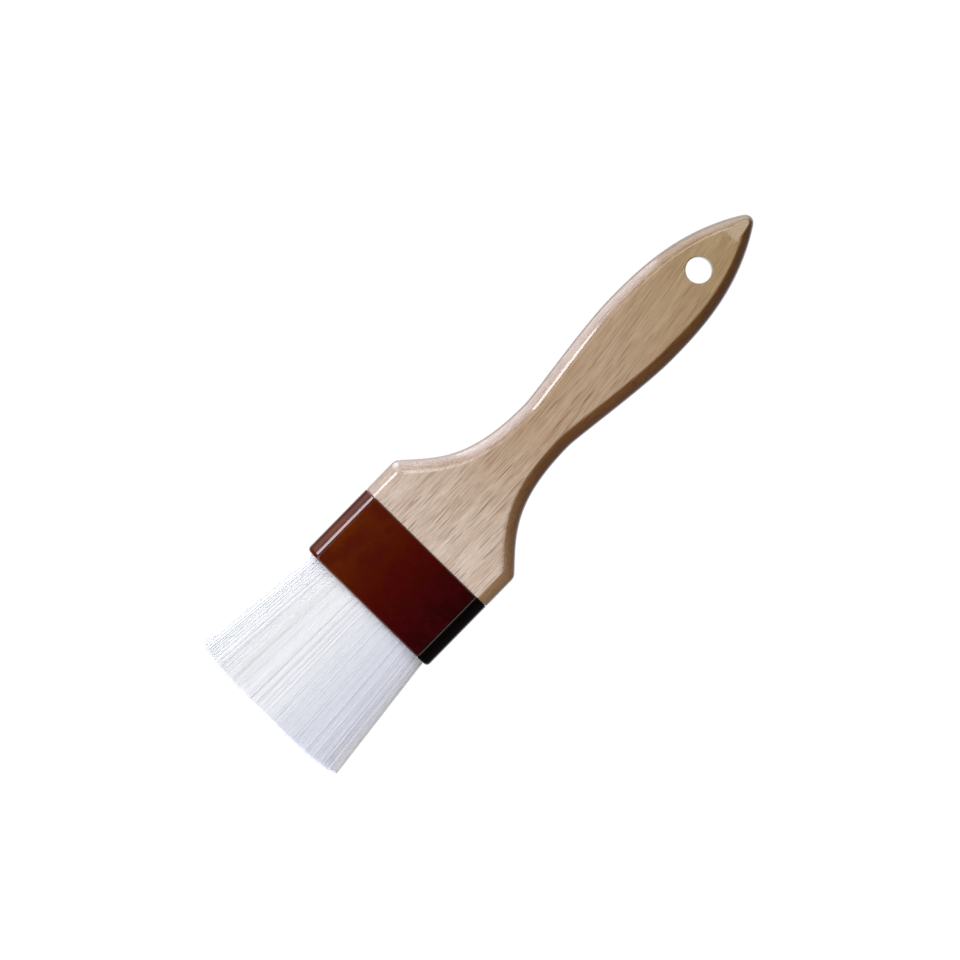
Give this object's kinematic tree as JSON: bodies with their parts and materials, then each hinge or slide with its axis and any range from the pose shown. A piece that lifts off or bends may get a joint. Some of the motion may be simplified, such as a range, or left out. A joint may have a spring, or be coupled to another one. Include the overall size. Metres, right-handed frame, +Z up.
{
  "type": "flat pastry brush",
  "caption": "Flat pastry brush with a shaped wooden handle, a hanging hole, a moulded plastic ferrule and white nylon bristles that flex at the ferrule's mouth.",
  "frame": {"origin": "middle of the brush's width and length, in the plane of the flat back faces that it lies on", "axes": "+Y along the brush from the bristle ends towards the handle's nose, +X across the brush's width, +Z up through its thickness, from the back face to the front face"},
  "size_m": [0.0588, 0.2176, 0.015],
  "materials": {
    "lacquered_wood": "satin",
    "ferrule_plastic": "gloss",
    "epoxy": "gloss",
    "strip_wood": "matte",
    "nylon": "satin"
  },
  "bodies": {
    "handle": {"handle": "lacquered_wood", "ferrule": "ferrule_plastic", "epoxy_set": "epoxy", "filler_strip_rear": "strip_wood", "filler_strip_front": "strip_wood", "bristle_roots_rear": "nylon", "bristle_roots_middle": "nylon", "bristle_roots_front": "nylon"},
    "bristles": {"bristles_rear": "nylon", "bristles_middle": "nylon", "bristles_front": "nylon"}
  },
  "joints": [
    {"name": "bristle_flex", "type": "hinge", "parent": "handle", "child": "bristles", "pos_m": [0, -0.06925, 0.0075], "axis": [1, 0, 0], "range_deg": [-35, 35], "stiffness_Nm_per_rad": 0.25}
  ]
}
